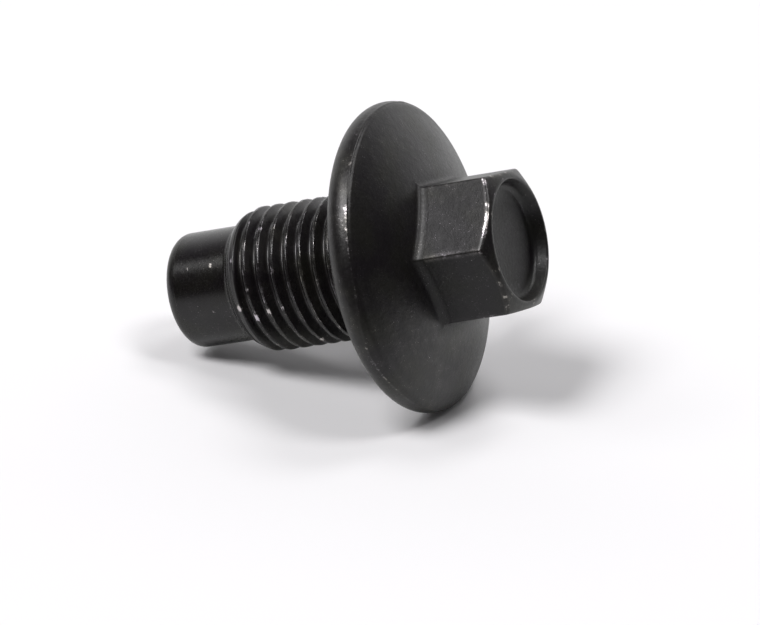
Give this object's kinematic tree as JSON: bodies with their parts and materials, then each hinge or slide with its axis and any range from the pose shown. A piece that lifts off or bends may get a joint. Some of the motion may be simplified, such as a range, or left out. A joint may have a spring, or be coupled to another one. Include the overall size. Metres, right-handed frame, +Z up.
{
  "type": "oil drain plug",
  "caption": "Forged steel drain plug with a chamfered hex head, a wide domed flange, a screw thread and a plain round pilot.",
  "frame": {"origin": "centre of the flange's flat seat face, on the plug's axis", "axes": "+Z runs up the shank to the pilot tip, +X and +Y lie in the seat plane, and two of the hex flats face +X and -X. The plug stands on its hex head."},
  "size_m": [0.0296, 0.0296, 0.0354],
  "materials": {
    "black_steel": "black oxide on forged steel, satin, worn bright along a few edges"
  },
  "bodies": {
    "root": {"drain_plug": "black_steel"}
  },
  "joints": []
}
